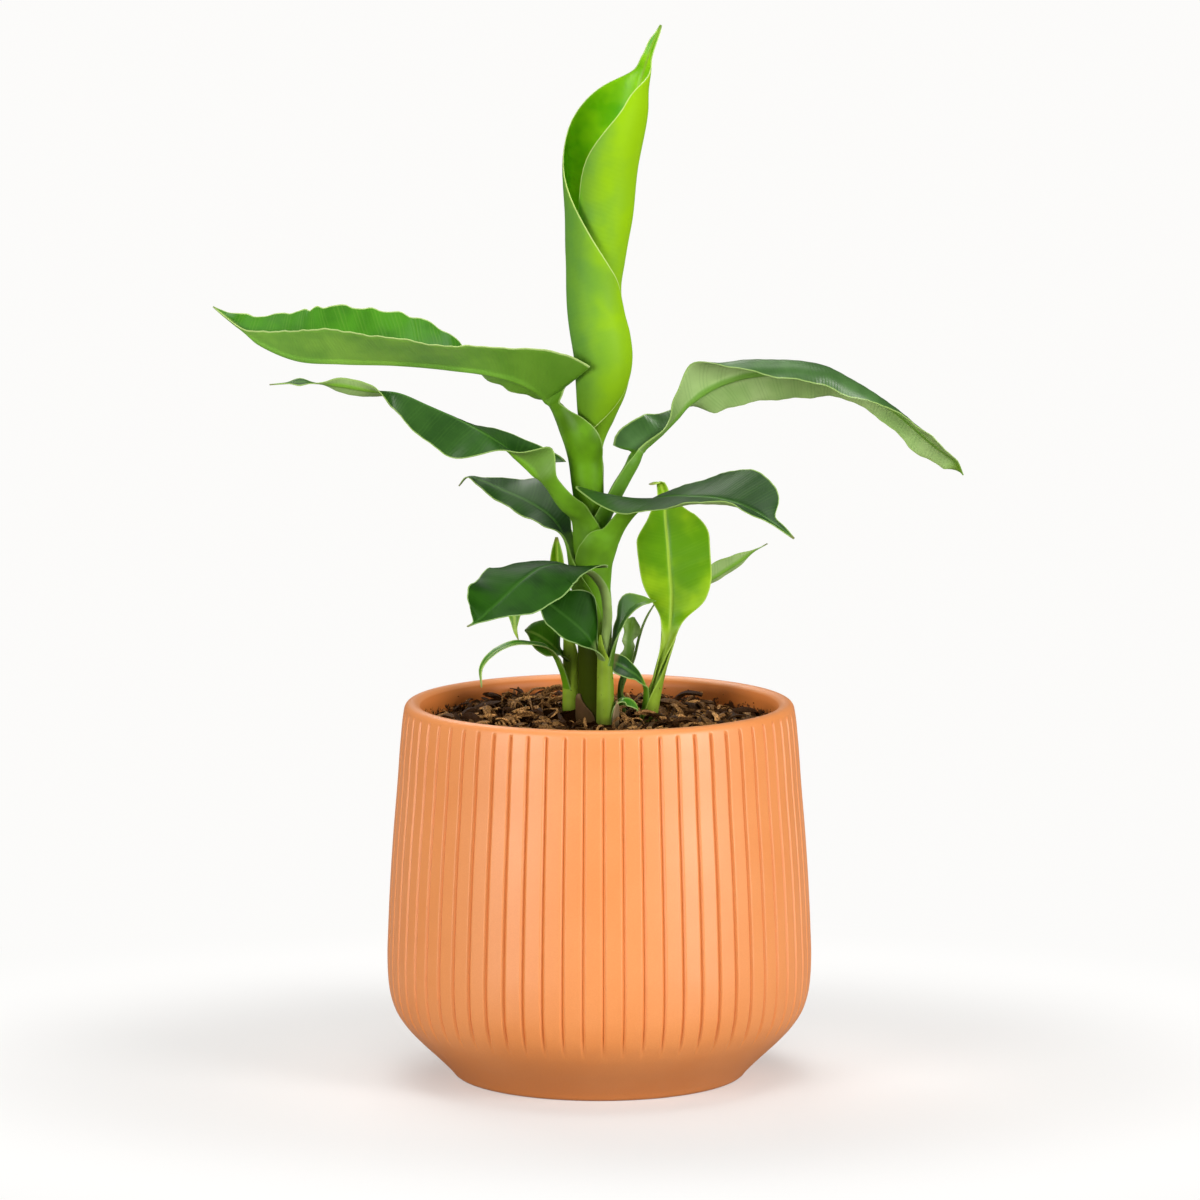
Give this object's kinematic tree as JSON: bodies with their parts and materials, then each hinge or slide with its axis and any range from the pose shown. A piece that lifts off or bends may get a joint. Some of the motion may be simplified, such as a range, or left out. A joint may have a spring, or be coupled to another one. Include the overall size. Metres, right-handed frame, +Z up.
{
  "type": "potted banana plant",
  "caption": "Young dwarf banana plant with a rolled new leaf, arching leaves and suckers, in a ribbed terracotta pot filled with bark-rich potting soil.",
  "frame": {"origin": "centre of the flat foot that the pot stands on", "axes": "+Z up along the pot's axis and the stems; front towards -Y, where the front sucker stands; +X to the right seen from the front"},
  "size_m": [0.3531, 0.1998, 0.4922],
  "materials": {
    "terracotta": "matt fired clay, unglazed, fine grain",
    "potting_soil": "rough dark potting soil with bark shreds",
    "leaf_old": "dark green leaf, waxy satin upper face, paler matt underside",
    "leaf_mid": "mid green leaf with a long light green petiole, satin",
    "leaf_young": "young bright yellow-green leaf, satin with a soft gloss",
    "leaf_dry": "dry papery brown sheath"
  },
  "bodies": {
    "root": {"pot": "terracotta", "soil": "potting_soil", "main_spear_leaf": "leaf_young", "main_upper_left_leaf": "leaf_mid", "main_upper_right_leaf": "leaf_old", "main_lower_left_leaf": "leaf_old", "main_front_right_leaf": "leaf_old", "main_back_left_leaf": "leaf_old", "main_dry_sheath": "leaf_dry", "front_sucker_broad_leaf": "leaf_old", "front_sucker_low_leaf": "leaf_old", "front_sucker_right_leaf": "leaf_old", "front_sucker_stub": "leaf_mid", "left_sucker_spear_leaf": "leaf_young", "left_sucker_hanging_leaf": "leaf_young", "left_sucker_short_leaf": "leaf_old", "left_sucker_arching_leaf": "leaf_old", "right_sucker_spade_leaf": "leaf_young", "right_sucker_narrow_leaf": "leaf_old", "right_sucker_low_leaf": "leaf_old", "back_sucker_stalk": "leaf_mid", "back_sucker_ragged_leaf": "leaf_mid"}
  },
  "joints": []
}
